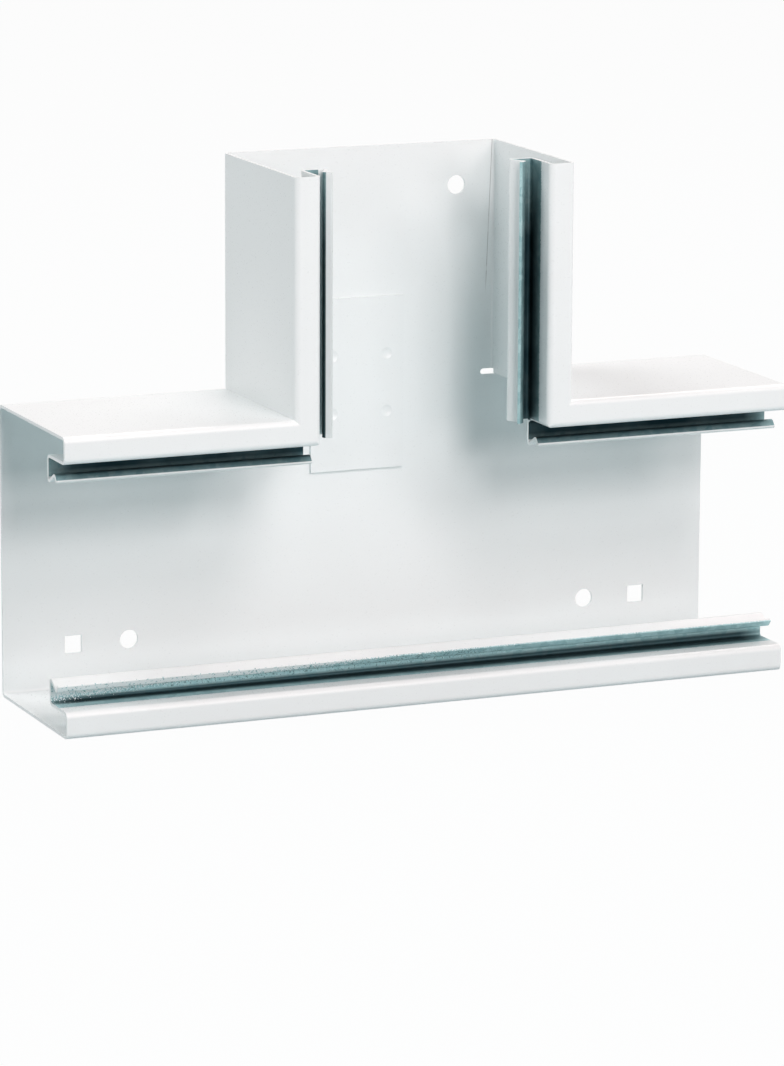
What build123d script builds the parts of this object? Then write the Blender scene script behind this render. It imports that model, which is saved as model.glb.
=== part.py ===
from build123d import *
import os

# Trunking tee fitting: a folded sheet steel tee, open to the front, with snap-in cover rails.
# Millimetres. X runs along the main run with the branch at X = 0, +Y points to the wall behind,
# +Z points up the branch. The origin is the bottom centre of the whole tee.

os.makedirs("parts", exist_ok=True)

# Overall sizes
run_length = 260.0
section_height = 100.0
section_depth = 65.0
branch_width = 100.0
branch_rise = 80.0  # branch above the main run

# Sheet and bends
sheet = 1.0
bend_radius = 2.0  # outside radius of the main bends
fold_radius = 0.5  # inside radius of the tight fold on the edge of a rail

# Front lips and the rails behind them, in depth behind the front and height above the wall
lip_height = 9.1  # wall to the flange, so the width of the front face beside the opening
groove_depth = 15.8  # front to the web at the bottom of the groove
rail_rise = 8.4  # flange to the corner of the fold
latch_depth = 10.1  # front to the corner of the latch lip
latch_rise = 4.8  # flange to the corner of the latch lip
latch_radius = 0.5  # inside radius of the latch lip
tip_rise = 2.3  # corner of the latch lip to its cut edge
tip_lean = 1.9  # of the cut edge towards the front
corner_radius = 2.0  # of the front face, where arm and branch meet
branch_rail_gap = 0.8  # end of the branch's rails above the flanges of the arms

# Holes in the back plate
hole_d = 6.5
square_hole = 6.0
arm_hole_inset = 45.0  # round holes, from the end of the run
arm_square_inset = 25.0  # square holes, from the end of the run
arm_hole_height = 16.0
branch_hole_inset = 15.0  # from the side of the branch
branch_hole_drop = 15.0  # from the end of the branch
relief_length = 5.5  # slot at the foot of each branch wall
relief_width = 2.0

# Coupling plate on the inner face of the back plate
coupling_width = 34.2
coupling_height = 59.7
coupling_thickness = 1.0
coupling_x = -1.9
coupling_z = 98.5
spot_pitch = 20.0
spot_x = -1.0
spot_d = 4.0
spot_depth = 0.35

# Planes and lines that follow from the sizes above
half_sheet = sheet / 2
bend_line_radius = bend_radius - half_sheet
y_front = -section_depth / 2
y_back = section_depth / 2
y_inner = y_back - sheet
x_end = run_length / 2
x_branch = branch_width / 2
z_branch = section_height + branch_rise
x_opening = x_branch - lip_height  # edge of the branch opening
z_opening = section_height - lip_height  # upper edge of the run opening


def wall_line():
    """Middle line of one wall, from the latch lip's cut edge round to the back plate."""
    latch_height = lip_height + latch_rise
    middle_flange = lip_height - half_sheet
    middle_web = groove_depth + half_sheet
    middle_back = section_depth - half_sheet
    return FilletPolyline(
        (latch_depth - tip_lean, latch_height + tip_rise),
        (latch_depth, latch_height),
        (middle_web, lip_height + rail_rise),
        (middle_web, middle_flange),
        (half_sheet, middle_flange),
        (half_sheet, half_sheet),
        (middle_back, half_sheet),
        (middle_back, 2 * bend_radius),
        radius=[
            latch_radius + half_sheet,
            fold_radius + half_sheet,
            bend_line_radius,
            bend_line_radius,
            bend_line_radius,
            bend_line_radius,
        ],
    )


def wall(corner, inward, length):
    """Wall with its lip and rail. Its section stands on corner, with depth along +Y and height
    along inward, and is extruded along Y cross inward."""
    along = Vector(0, 1, 0).cross(Vector(*inward))
    plane = Plane(origin=corner, x_dir=(0, 1, 0), z_dir=along)
    return extrude(plane * trace(wall_line().edges(), line_width=sheet), length)


def trimmed(solid, below):
    """The side of the left mitre that lies below it, or the side above."""
    mitre = Plane(origin=(-x_branch, 0, section_height), x_dir=(0, 1, 0), z_dir=(1, 0, 1))
    return split(solid, bisect_by=mitre, keep=Keep.BOTTOM if below else Keep.TOP)


def through_back(sketch):
    """Cutter through the back plate, from a sketch in X and Z."""
    plane = Plane(origin=(0, y_back + sheet, 0), x_dir=(1, 0, 0), z_dir=(0, -1, 0))
    return extrude(plane * sketch, 3 * sheet)


def both_sides(solid):
    return solid + mirror(solid, about=Plane.YZ)


# Walls: bottom, left arm top and left side of the branch. The left ones are mirrored.
bottom_wall = wall((-x_end, y_front, 0), (0, 0, 1), run_length)
arm_top = wall((-x_opening, y_front, section_height), (0, 0, -1), x_end - x_opening)
branch_side = wall((-x_branch, y_front, z_branch), (1, 0, 0), z_branch - z_opening)
left_walls = trimmed(arm_top, True) + trimmed(branch_side, False)

# Back plate between the bends
back_sketch = Pos(0, section_height / 2) * Rectangle(run_length, section_height - 2 * bend_radius)
branch_plate_height = z_branch - bend_radius
back_sketch += Pos(0, bend_radius + branch_plate_height / 2) * Rectangle(
    branch_width - 2 * bend_radius, branch_plate_height
)
back_plane = Plane(origin=(0, y_back, 0), x_dir=(1, 0, 0), z_dir=(0, -1, 0))
back_plate = extrude(back_plane * back_sketch, sheet)

# Holes and relief slots
x_round = x_end - arm_hole_inset
x_square = x_end - arm_square_inset
x_branch_hole = x_branch - branch_hole_inset
z_branch_hole = z_branch - branch_hole_drop
relief_z = section_height - half_sheet
relief_straight = relief_length - relief_width / 2
relief_x = x_branch - relief_straight / 2
holes = Sketch()
for side in (-1, 1):
    holes += Pos(side * x_round, arm_hole_height) * Circle(hole_d / 2)
    holes += Pos(side * x_square, arm_hole_height) * Rectangle(square_hole, square_hole)
    holes += Pos(side * x_branch_hole, z_branch_hole) * Circle(hole_d / 2)
    holes += Pos(side * relief_x, relief_z) * Rectangle(relief_straight, relief_width)
    holes += Pos(side * (x_branch - relief_straight), relief_z) * Circle(relief_width / 2)

# Rounded corner of the front face, cut as far back as the bend of the web
corner_depth = groove_depth + sheet - bend_radius
corner_block = Pos(
    -x_opening - corner_radius / 2, y_front + corner_depth / 2, z_opening + corner_radius / 2
) * Box(corner_radius, corner_depth, corner_radius)
corner_round = Pos(
    -x_opening - corner_radius, y_front + corner_depth / 2, z_opening + corner_radius
) * Rot(90, 0, 0) * Cylinder(corner_radius, corner_depth)

# Gap below the end of the branch's left rail
gap_width = rail_rise + sheet
gap_depth = groove_depth + bend_radius
rail_gap = Pos(
    -x_opening + gap_width / 2, y_front + gap_depth / 2, z_opening + branch_rail_gap / 2
) * Box(gap_width, gap_depth, branch_rail_gap)

body = back_plate + bottom_wall + both_sides(left_walls)
body -= both_sides(corner_block - corner_round)
body -= both_sides(rail_gap)
body -= through_back(holes)
body = body.clean()

# Coupling plate
coupling = Pos(coupling_x, y_inner - coupling_thickness / 2, coupling_z) * Box(
    coupling_width, coupling_thickness, coupling_height
)
spot_radius = (spot_d**2 / 4 + spot_depth**2) / (2 * spot_depth)
for side_x in (-1, 1):
    for side_z in (-1, 1):
        coupling -= Pos(
            spot_x + side_x * spot_pitch / 2,
            y_inner - coupling_thickness - spot_radius + spot_depth,
            coupling_z + side_z * spot_pitch / 2,
        ) * Sphere(spot_radius)

nodes = {"tee_body": body, "coupling_plate": coupling}
for name, shape in nodes.items():
    shape.label = name
    export_step(shape, f"parts/{name}.step")
    print(name, "solids", len(shape.solids()), "volume", round(shape.volume, 1), "valid", shape.is_valid)
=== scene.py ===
import math

import bpy
from mathutils import Matrix, Vector


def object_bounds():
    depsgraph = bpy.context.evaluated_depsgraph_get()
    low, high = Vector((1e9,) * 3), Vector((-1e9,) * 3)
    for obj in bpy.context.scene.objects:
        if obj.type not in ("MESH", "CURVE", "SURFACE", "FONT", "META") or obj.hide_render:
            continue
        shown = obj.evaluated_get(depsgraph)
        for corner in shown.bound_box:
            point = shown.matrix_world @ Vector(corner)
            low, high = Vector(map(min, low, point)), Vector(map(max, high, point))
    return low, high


# Looks of the trunking tee: white powder coat, bare galvanised rail grooves, studio and camera.
# Metres and the part's own axes: X along the run, +Y towards the wall behind, +Z up the branch.

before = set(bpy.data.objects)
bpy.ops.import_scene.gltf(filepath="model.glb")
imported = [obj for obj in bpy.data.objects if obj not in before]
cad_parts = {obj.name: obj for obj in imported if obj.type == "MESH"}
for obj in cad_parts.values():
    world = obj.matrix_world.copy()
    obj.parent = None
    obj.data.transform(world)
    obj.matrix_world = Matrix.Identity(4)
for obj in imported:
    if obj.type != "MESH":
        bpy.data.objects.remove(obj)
cad_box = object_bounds()

MM = 0.001

# The folded section that the finishes follow, in depth behind the front and height above its own wall
FRONT_Y = cad_box[0][1]
FLANGE_HEIGHT = 9.1 * MM
WEB_FRONT = 15.8 * MM
WEB_MIDDLE = 16.3 * MM
LATCH_DEPTH = 10.1 * MM
LATCH_HEIGHT = 13.9 * MM
TIP_DEPTH = 8.2 * MM  # of the latch lip's cut edge
TIP_HEIGHT = 16.2 * MM
FOLD_DEPTH = WEB_MIDDLE
FOLD_HEIGHT = 17.5 * MM
LEG_TOP = 15.95 * MM  # groove side of the cut edge
PAINT_DEPTH = 7.6 * MM  # how far the paint comes round the front lip into the groove
BACK_MIDDLE = 64.5 * MM  # middle of the back plate's sheet

# The tee's own sizes, from its middle or its bottom
RUN_END = 130 * MM
SECTION_TOP = 100 * MM
BRANCH_SIDE = 50 * MM
BRANCH_TOP = 180 * MM
OPENING_SIDE = 40.9 * MM  # inner ends of the arms' upper rails
BRANCH_FOOT = 91.3 * MM  # between the arms' upper flanges and the ends of the branch's rails

# Linear colours
BODY_PAINT = (0.776, 0.856, 0.865)
PLATE_PAINT = (0.766, 0.846, 0.855)
DARK_ZINC = (0.29, 0.50, 0.53)
LIGHT_ZINC = (0.48, 0.70, 0.72)
# near black of the painted shade in the grooves and of the dark pits
SHADE_AND_PIT_DARK = (0.008, 0.026, 0.034)
FLOOR_PAPER = (0.37, 0.50, 0.525)
WORLD_GREY = (0.8, 0.8, 0.8)
FRONT_LIGHT = (1.0, 0.858, 0.843)
SIDE_LIGHT = (1.0, 0.88, 0.868)
OVER_LEFT_LIGHT = (0.95, 0.90, 0.89)
OVER_BACK_LIGHT = (1.0, 0.88, 0.86)

# Range in which most of a noise's values lie, and the softness of an edge that looks sharp
NOISE_SPAN = (0.3, 0.7)
SHARP = 0.1 * MM

# Camera, from the photograph: angles in degrees, focal length in pixels of a 784 by 1066 picture
IMAGE_WIDTH = 784
SENSOR_WIDTH = 36.0
CAMERA_AZIMUTH = 23.09
CAMERA_ELEVATION = 11.97
CAMERA_ROLL = 0.255
CAMERA_DISTANCE = 1.7665
CAMERA_TARGET = Vector((0.0121, 0.0325, 0.0449))
FOCAL_PIXELS = 5119.4

# Point that every lamp faces
LAMP_TARGET = Vector((0.0, 0.0, 0.08))


def shade_of(color, share=1.0):
    """The colour times a share, with full opacity."""
    return [share * channel for channel in color] + [1.0]


class Graph:
    """Short calls for building the nodes of a material or of the world. A mask is a value that is 1
    where it holds and 0 elsewhere."""

    def __init__(self, owner):
        owner.use_nodes = True
        self.tree = owner.node_tree
        self.tree.nodes.clear()

    def feed(self, socket, value):
        if isinstance(value, bpy.types.NodeSocket):
            self.tree.links.new(value, socket)
        else:
            socket.default_value = value

    def node(self, kind, inputs=None, **settings):
        """A new node. Its settings are made first, and its inputs are then fed by name."""
        node = self.tree.nodes.new(kind)
        for name, value in settings.items():
            setattr(node, name, value)
        for name, value in (inputs or {}).items():
            self.feed(node.inputs[name], value)
        return node

    def output(self, kind, shader):
        """Output node of the given kind, with the shader on its surface."""
        self.node(kind, {"Surface": shader})

    def math(self, operation, *values):
        node = self.node("ShaderNodeMath", operation=operation)
        for socket, value in zip(node.inputs, values):
            self.feed(socket, value)
        return node.outputs[0]

    def add(self, first, second):
        return self.math("ADD", first, second)

    def subtract(self, first, second):
        return self.math("SUBTRACT", first, second)

    def multiply(self, first, second):
        return self.math("MULTIPLY", first, second)

    def largest(self, first, *others):
        result = first
        for other in others:
            result = self.math("MAXIMUM", result, other)
        return result

    def all_of(self, first, *others):
        """Mask that holds where every mask holds."""
        result = first
        for other in others:
            result = self.multiply(result, other)
        return result

    def outside(self, mask):
        return self.subtract(1.0, mask)

    def above(self, value, edge, width):
        """Mask of the values above the edge, with a soft change of the given width."""
        node = self.node(
            "ShaderNodeMapRange",
            {"Value": self.subtract(value, edge), "From Min": -width / 2, "From Max": width / 2},
            interpolation_type="SMOOTHSTEP",
        )
        return node.outputs["Result"]

    def below(self, value, edge, width):
        return self.outside(self.above(value, edge, width))

    def ramp(self, factor, span, values):
        """Runs from the first value to the second while the factor crosses the span."""
        node = self.node(
            "ShaderNodeMapRange",
            {
                "Value": factor,
                "From Min": span[0],
                "From Max": span[1],
                "To Min": values[0],
                "To Max": values[1],
            },
        )
        return node.outputs["Result"]

    def choose(self, mask, elsewhere, where):
        """One value outside the mask and another where it holds."""
        return self.ramp(mask, (0.0, 1.0), (elsewhere, where))

    def noise(self, position, scale, detail=2.0, roughness=0.5):
        node = self.node(
            "ShaderNodeTexNoise",
            {"Vector": position, "Scale": scale, "Detail": detail, "Roughness": roughness},
        )
        return node.outputs["Fac"]

    def mix_colors(self, factor, first, second):
        node = self.node("ShaderNodeMix", {"Factor": factor, "A": first, "B": second}, data_type="RGBA")
        return node.outputs["Result"]

    def mix_shaders(self, factor, first, second):
        node = self.node("ShaderNodeMixShader")
        for socket, value in zip(node.inputs, (factor, first, second)):
            self.feed(socket, value)
        return node.outputs[0]

    def bump(self, height, distance, strength):
        node = self.node("ShaderNodeBump", {"Strength": strength, "Distance": distance, "Height": height})
        return node.outputs["Normal"]

    def position(self):
        return self.node("ShaderNodeTexCoord").outputs["Object"]


def powder_coat(graph, position, paint, bend_shade=0.0):
    """White powder coat: satin gloss, fine orange peel and hardly visible clouds in the white. It is
    darker where the last argument is 1, a painted shade line."""
    cloud_scale = 22.0
    cloud_share = 0.985
    bend_shade_share = 0.6
    peel_scale = 1500.0
    peel_depth = 0.02 * MM
    peel_strength = 0.2
    roughness = (0.27, 0.33)
    clouds = graph.ramp(graph.noise(position, cloud_scale, detail=3.0), NOISE_SPAN, (0.0, 1.0))
    tone = graph.mix_colors(clouds, shade_of(paint), shade_of(paint, cloud_share))
    peel = graph.noise(position, peel_scale)
    shader = graph.node(
        "ShaderNodeBsdfPrincipled",
        {
            "Base Color": graph.mix_colors(bend_shade, tone, shade_of(paint, bend_shade_share)),
            "Roughness": graph.ramp(peel, NOISE_SPAN, roughness),
            "Normal": graph.bump(peel, peel_depth, peel_strength),
            "Specular IOR Level": 0.5,
        },
    )
    return shader.outputs["BSDF"]


def galvanised(graph, position, darkness):
    """Bare galvanised steel: dull spangle, grain and a cool tint, near black where the last argument is 1:
    painted shade in the grooves, and dark pits at the lower rail's left end.
    """
    spangle_scale = 450.0
    grain_scale = 900.0
    grain_depth = 0.04 * MM
    grain_strength = 0.3
    roughness = (0.40, 0.60)
    metallic = (0.55, 0.9)
    specular = (0.5, 0.05)
    tone_span = (0.25, 0.75)
    gloss_span = (0.2, 0.8)
    spangle = graph.node("ShaderNodeTexVoronoi", {"Vector": position, "Scale": spangle_scale})
    grain = graph.noise(position, grain_scale, detail=3.0, roughness=0.6)
    level = graph.add(graph.multiply(spangle.outputs["Color"], 0.5), graph.multiply(grain, 0.5))
    tone = graph.ramp(level, tone_span, (0.0, 1.0))
    zinc = graph.mix_colors(tone, shade_of(DARK_ZINC), shade_of(LIGHT_ZINC))
    shader = graph.node(
        "ShaderNodeBsdfPrincipled",
        {
            "Base Color": graph.mix_colors(darkness, zinc, shade_of(SHADE_AND_PIT_DARK)),
            "Roughness": graph.ramp(level, gloss_span, roughness),
            "Normal": graph.bump(grain, grain_depth, grain_strength),
            "Metallic": graph.choose(darkness, *metallic),
            "Specular IOR Level": graph.choose(darkness, *specular),
        },
    )
    return shader.outputs["BSDF"]


class Section:
    """Place of a point in the folded section, and masks of the parts of the tee."""

    def __init__(self, graph, position):
        soft = 1.0 * MM
        axes = graph.node("ShaderNodeSeparateXYZ")
        graph.feed(axes.inputs[0], position)
        x, y, z = axes.outputs
        self.along = x
        self.up = z
        self.from_middle = graph.math("ABSOLUTE", x)
        self.depth = graph.subtract(y, FRONT_Y)
        from_top = graph.subtract(SECTION_TOP, z)
        from_side = graph.subtract(BRANCH_SIDE, self.from_middle)
        self.height = graph.math("MINIMUM", z, graph.largest(from_top, from_side))
        self.right = graph.above(x, 0.0, soft)
        self.hanging = graph.above(z, SECTION_TOP / 2, soft)  # the arms' upper rails and the branch
        self.branch = graph.above(z, BRANCH_FOOT, SHARP)
        self.branch_right = graph.all_of(self.right, self.branch)


def lower_left(graph, section, limit, fade):
    """Mask of the lower rail's left part, up to a limit along the run."""
    return graph.below(graph.largest(section.along, section.up), limit, fade)


def cut_ends(graph, section):
    """Mask of the cut ends of the arms and of the branch, and the inner ends of the arms' upper rails."""
    skin = 0.05 * MM
    edge = 0.04 * MM
    arm_end = graph.above(section.from_middle, RUN_END - skin, edge)
    branch_end = graph.above(section.up, BRANCH_TOP - skin, edge)
    at_opening = graph.below(section.from_middle, OPENING_SIDE + skin, edge)
    rail_end = graph.all_of(at_opening, section.hanging, graph.outside(section.branch))
    return graph.largest(rail_end, arm_end, branch_end)


def groove_side(graph, section):
    """Mask of the side of the flange, web and latch lip that faces the groove. On the branch's right rail
    it takes in the cut edge."""
    face_margin = 0.25 * MM
    cut_edge_width = 1.0 * MM
    above_flange = graph.above(section.height, FLANGE_HEIGHT - face_margin, SHARP)
    before_web = graph.below(section.depth, WEB_MIDDLE, SHARP)
    past_latch = graph.subtract(section.depth, LATCH_DEPTH)
    above_latch = graph.subtract(section.height, LATCH_HEIGHT)
    lip_slope = (FOLD_HEIGHT - LATCH_HEIGHT) / (FOLD_DEPTH - LATCH_DEPTH)
    above_lip = graph.subtract(above_latch, graph.multiply(past_latch, lip_slope))
    leg_slope = (TIP_HEIGHT - LATCH_HEIGHT) / (LATCH_DEPTH - TIP_DEPTH)
    behind_leg = graph.add(graph.multiply(past_latch, leg_slope), above_latch)
    leg_edge = graph.choose(section.branch_right, 0.0, cut_edge_width)
    under_lip = graph.below(above_lip, 0.0, SHARP)
    before_leg = graph.below(behind_leg, leg_edge, SHARP)
    return graph.all_of(above_flange, before_web, graph.largest(under_lip, before_leg))


def paint_edge(graph, section, ragged):
    """Height down to which the paint covers the lip from its cut edge. It comes furthest down on the
    branch's left rail and at the left end of the lower rail, where the edge is ragged."""
    branch_left = 14.3 * MM
    branch_right = 18.0 * MM  # past the cut edge, so that all of the leg is bare
    arms = 15.5 * MM
    lower_left_end = 10.3 * MM
    lower_right = LEG_TOP + 0.2 * MM
    level_from_x = -10.0 * MM
    smooth_from_x = 60.0 * MM
    raggedness = (1.0, 0.15)
    branch = graph.choose(section.right, branch_left, branch_right)
    upper = graph.choose(section.branch, arms, branch)
    lower = graph.ramp(section.along, (-RUN_END, level_from_x), (lower_left_end, lower_right))
    wild = graph.ramp(section.along, (-RUN_END, smooth_from_x), raggedness)
    lower = graph.add(lower, graph.multiply(ragged, wild))
    return graph.choose(section.hanging, lower, upper)


def bare_steel(graph, section, position):
    """Mask of the bare groove side of the rails: all of it but what the paint reaches."""
    ragged_scale = 1800.0
    ragged_height = 2.0 * MM
    front_raggedness = 0.15
    speck_scale = 1300.0
    speck_level = 0.64
    speck_edge = 0.04
    speck_limit = 40.0 * MM
    depth_fade = 0.4 * MM
    height_fade = 0.15 * MM
    wander = graph.noise(position, ragged_scale, roughness=0.6)
    ragged = graph.ramp(wander, NOISE_SPAN, (-ragged_height, ragged_height))
    ragged_depth = graph.add(section.depth, graph.multiply(ragged, front_raggedness))
    past_paint = graph.above(ragged_depth, PAINT_DEPTH, depth_fade)
    above_paint_edge = graph.subtract(section.height, paint_edge(graph, section, ragged))
    bare = graph.below(above_paint_edge, 0.0, height_fade)
    specks = graph.above(graph.noise(position, speck_scale, detail=1.0), speck_level, speck_edge)
    specks = graph.all_of(specks, lower_left(graph, section, speck_limit, speck_limit))
    return graph.all_of(
        past_paint,
        groove_side(graph, section),
        graph.largest(bare, specks),
        graph.outside(cut_ends(graph, section)),
    )


def daylight(graph, section):
    """How much painted light, falling in at the open ends and mouths of the hanging rails, takes off the
    painted shade in them.
    """
    arm_span = (RUN_END - 8.0 * MM, RUN_END)
    arm_light = (0.0, 0.45)
    branch_span = (BRANCH_TOP - 26.0 * MM, BRANCH_TOP - 2.0 * MM)
    branch_light = (0.0, 0.5)
    mouth_span = (PAINT_DEPTH, WEB_FRONT - 2.0 * MM)
    mouth_light = (0.7, 0.0)
    flange_limit = FLANGE_HEIGHT + 1.5 * MM
    flange_fade = 0.5 * MM
    arm_end = graph.ramp(section.from_middle, arm_span, arm_light)
    branch_end = graph.ramp(section.up, branch_span, branch_light)
    on_flange = graph.below(section.height, flange_limit, flange_fade)
    mouth = graph.all_of(on_flange, section.hanging, graph.ramp(section.depth, mouth_span, mouth_light))
    return graph.largest(mouth, arm_end, branch_end)


def corner_shade(graph, section):
    """Painted shade in the corner of web and flange, wider towards the right of the lower rail."""
    flange_share = 0.35
    widths = (1.3 * MM, 2.5 * MM)
    widening = (-RUN_END, 100.0 * MM)
    fade = (0.6, 1.2)  # as shares of the width
    darkness = (0.92, 0.0)
    up_web = graph.subtract(section.height, FLANGE_HEIGHT)
    along_flange = graph.multiply(graph.subtract(WEB_FRONT, section.depth), flange_share)
    width = graph.ramp(section.along, widening, widths)
    from_corner = graph.math("DIVIDE", graph.largest(up_web, along_flange), width)
    return graph.ramp(from_corner, fade, darkness)


def hanging_shade(graph, section, position):
    """Patchy shade all over in the rails that hang, lighter on the latch lip's leg."""
    leg_span = (LATCH_HEIGHT - 0.5 * MM, LATCH_HEIGHT + 1.9 * MM)
    leg_shade = 0.6
    lit_leg_shade = 0.1  # on the branch's right rail
    patch_scale = 60.0
    patch_span = (0.35, 0.65)
    patch_shade = (0.93, 1.0)
    leg_top_shade = graph.choose(section.branch_right, leg_shade, lit_leg_shade)
    leg = graph.ramp(section.height, leg_span, (1.0, leg_top_shade))
    patches = graph.ramp(graph.noise(position, patch_scale, detail=3.0), patch_span, patch_shade)
    return graph.all_of(section.hanging, leg, patches)


def paint_pits(graph, section, position):
    """Dark pits beside the ragged paint edge at the left end of the lower rail."""
    pit_scale = 1500.0
    pit_span = (0.58, 0.64)
    pit_dirt = (0.0, 0.8)
    limit = 20.0 * MM
    limit_fade = 60.0 * MM
    foot = FLANGE_HEIGHT + 1.4 * MM
    foot_fade = 0.8 * MM
    pits = graph.ramp(graph.noise(position, pit_scale, detail=1.0), pit_span, pit_dirt)
    above_foot = graph.above(section.height, foot, foot_fade)
    return graph.all_of(pits, lower_left(graph, section, limit, limit_fade), above_foot)


def groove_shade_and_pits(graph, section, position):
    """Painted shade in the grooves, with dark pits at the lower rail's left end, all less where light
    falls in.
    """
    darkness = graph.largest(
        corner_shade(graph, section),
        hanging_shade(graph, section, position),
        paint_pits(graph, section, position),
    )
    return graph.all_of(darkness, graph.outside(daylight(graph, section)))


def bend_shade_line(graph, section, position):
    """Mask of a fine painted shade line on the back plate beside the branch's right bend, broken up
    towards its foot.
    """
    top_x = 48.25 * MM
    lean = 0.039
    half_width = 0.13 * MM
    whole_span = (20.0 * MM, 45.0 * MM)  # from the branch's top
    length = 50.0 * MM
    foot_fade = 8.0 * MM
    wall_depth = 60.0 * MM
    wall_fade = 1.0 * MM
    back_fade = 0.2 * MM
    break_scale = 160.0
    break_span = (0.42, 0.5)
    from_top = graph.subtract(BRANCH_TOP, section.up)
    line = graph.subtract(top_x, graph.multiply(from_top, lean))
    from_line = graph.math("ABSOLUTE", graph.subtract(section.along, line))
    near = graph.below(from_line, half_width, SHARP)
    broken = graph.ramp(graph.noise(position, break_scale, detail=1.0), break_span, (0.0, 1.0))
    whole = graph.ramp(from_top, whole_span, (1.0, 0.0))
    above_foot = graph.below(from_top, length, foot_fade)
    past_walls = graph.above(section.depth, wall_depth, wall_fade)
    on_inside = graph.below(section.depth, BACK_MIDDLE, back_fade)
    return graph.all_of(near, graph.largest(whole, broken), above_foot, past_walls, on_inside)


def body_finish(material):
    graph = Graph(material)
    position = graph.position()
    section = Section(graph, position)
    paint = powder_coat(graph, position, BODY_PAINT, bend_shade_line(graph, section, position))
    steel = galvanised(graph, position, groove_shade_and_pits(graph, section, position))
    surface = graph.mix_shaders(bare_steel(graph, section, position), paint, steel)
    graph.output("ShaderNodeOutputMaterial", surface)


def plate_finish(material):
    graph = Graph(material)
    graph.output("ShaderNodeOutputMaterial", powder_coat(graph, graph.position(), PLATE_PAINT))


def dress(node_name, material_name, finish):
    material = bpy.data.materials.new(material_name)
    finish(material)
    for material_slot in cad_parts[node_name].material_slots:
        material_slot.material = material


def add_floor():
    """Pale floor that is white where the camera, or a glossy surface, sees it, and keeps soft shadows."""
    side = 12.0
    height = -0.2 * MM  # just clear of the tee's underside
    white_share = 0.97
    mesh = bpy.data.meshes.new("floor")
    corners = [(-side, -side, height), (side, -side, height), (side, side, height), (-side, side, height)]
    mesh.from_pydata(corners, [], [(0, 1, 2, 3)])
    floor = bpy.data.objects.new("floor", mesh)
    bpy.context.scene.collection.objects.link(floor)
    material = bpy.data.materials.new("floor_paper")
    graph = Graph(material)
    rays = graph.node("ShaderNodeLightPath").outputs
    seen = graph.largest(rays["Is Camera Ray"], rays["Is Glossy Ray"], rays["Is Transmission Ray"])
    paper = graph.node("ShaderNodeBsdfDiffuse", {"Color": shade_of(FLOOR_PAPER)})
    white = graph.node("ShaderNodeEmission")
    surface = graph.mix_shaders(graph.multiply(seen, white_share), paper.outputs[0], white.outputs[0])
    graph.output("ShaderNodeOutputMaterial", surface)
    mesh.materials.append(material)


def add_world():
    """Pale backdrop for the camera and for glossy surfaces, which gives no light of its own."""
    world = bpy.data.worlds.new("studio")
    bpy.context.scene.world = world
    graph = Graph(world)
    rays = graph.node("ShaderNodeLightPath").outputs
    seen = graph.largest(rays["Is Camera Ray"], rays["Is Glossy Ray"])
    backdrop = graph.node("ShaderNodeBackground", {"Color": shade_of(WORLD_GREY), "Strength": seen})
    graph.output("ShaderNodeOutputWorld", backdrop.outputs[0])


def add_softbox(name, position, size, watts, color):
    light = bpy.data.lights.new(name, "AREA")
    light.shape = "RECTANGLE"
    light.size, light.size_y = size
    light.energy = watts
    light.color = color
    lamp = bpy.data.objects.new(name, light)
    aim = LAMP_TARGET - Vector(position)
    turn = aim.to_track_quat("-Z", "Y").to_matrix().to_4x4()
    lamp.matrix_world = Matrix.Translation(position) @ turn
    bpy.context.scene.collection.objects.link(lamp)


def add_camera():
    azimuth = math.radians(CAMERA_AZIMUTH)
    elevation = math.radians(CAMERA_ELEVATION)
    roll = math.radians(CAMERA_ROLL)
    level_forward = Vector((math.sin(azimuth), math.cos(azimuth), 0))
    level_right = Vector((math.cos(azimuth), -math.sin(azimuth), 0))
    forward = math.cos(elevation) * level_forward - math.sin(elevation) * Vector((0, 0, 1))
    level_up = level_right.cross(forward)
    right = math.cos(roll) * level_right + math.sin(roll) * level_up
    up = math.cos(roll) * level_up - math.sin(roll) * level_right
    camera_data = bpy.data.cameras.new("photo_camera")
    camera_data.sensor_fit = "HORIZONTAL"
    camera_data.sensor_width = SENSOR_WIDTH
    camera_data.lens = FOCAL_PIXELS * SENSOR_WIDTH / IMAGE_WIDTH
    camera_data.clip_end = 50
    camera = bpy.data.objects.new("photo_camera", camera_data)
    turn = Matrix((right, up, -forward)).transposed().to_4x4()
    camera.matrix_world = Matrix.Translation(CAMERA_TARGET - CAMERA_DISTANCE * forward) @ turn
    bpy.context.scene.collection.objects.link(camera)
    bpy.context.scene.camera = camera


dress("tee_body", "tee_powder_coat", body_finish)
dress("coupling_plate", "plate_powder_coat", plate_finish)

add_floor()
add_world()
add_softbox("key_front", position=(-0.1, -1.53, 0.82), size=(0.35, 0.35), watts=8.1, color=FRONT_LIGHT)
add_softbox("key_right", position=(0.6, -1.36, 0.9), size=(0.35, 0.35), watts=4.8, color=FRONT_LIGHT)
add_softbox("fill_left", position=(-1.2, -1.3, 0.45), size=(0.4, 0.4), watts=2.5, color=FRONT_LIGHT)
add_softbox("low_front", position=(0.2, -1.7, 0.4), size=(0.5, 0.3), watts=5.6, color=FRONT_LIGHT)
add_softbox("top_front", position=(0.1, -1.15, 1.35), size=(0.5, 0.5), watts=9.4, color=FRONT_LIGHT)
add_softbox("over_left", position=(-0.65, 0.25, 1.4), size=(0.5, 0.5), watts=7.8, color=OVER_LEFT_LIGHT)
add_softbox("over_back", position=(0.5, 0.7, 1.3), size=(0.9, 0.9), watts=9.0, color=OVER_BACK_LIGHT)
add_softbox("side_left", position=(-1.5, 0.5, 0.6), size=(0.6, 0.6), watts=8.2, color=SIDE_LIGHT)
add_softbox("side_right", position=(1.5, 0.1, 0.5), size=(0.6, 0.6), watts=5.6, color=SIDE_LIGHT)
add_camera()
bpy.context.scene.view_settings.view_transform = "Standard"
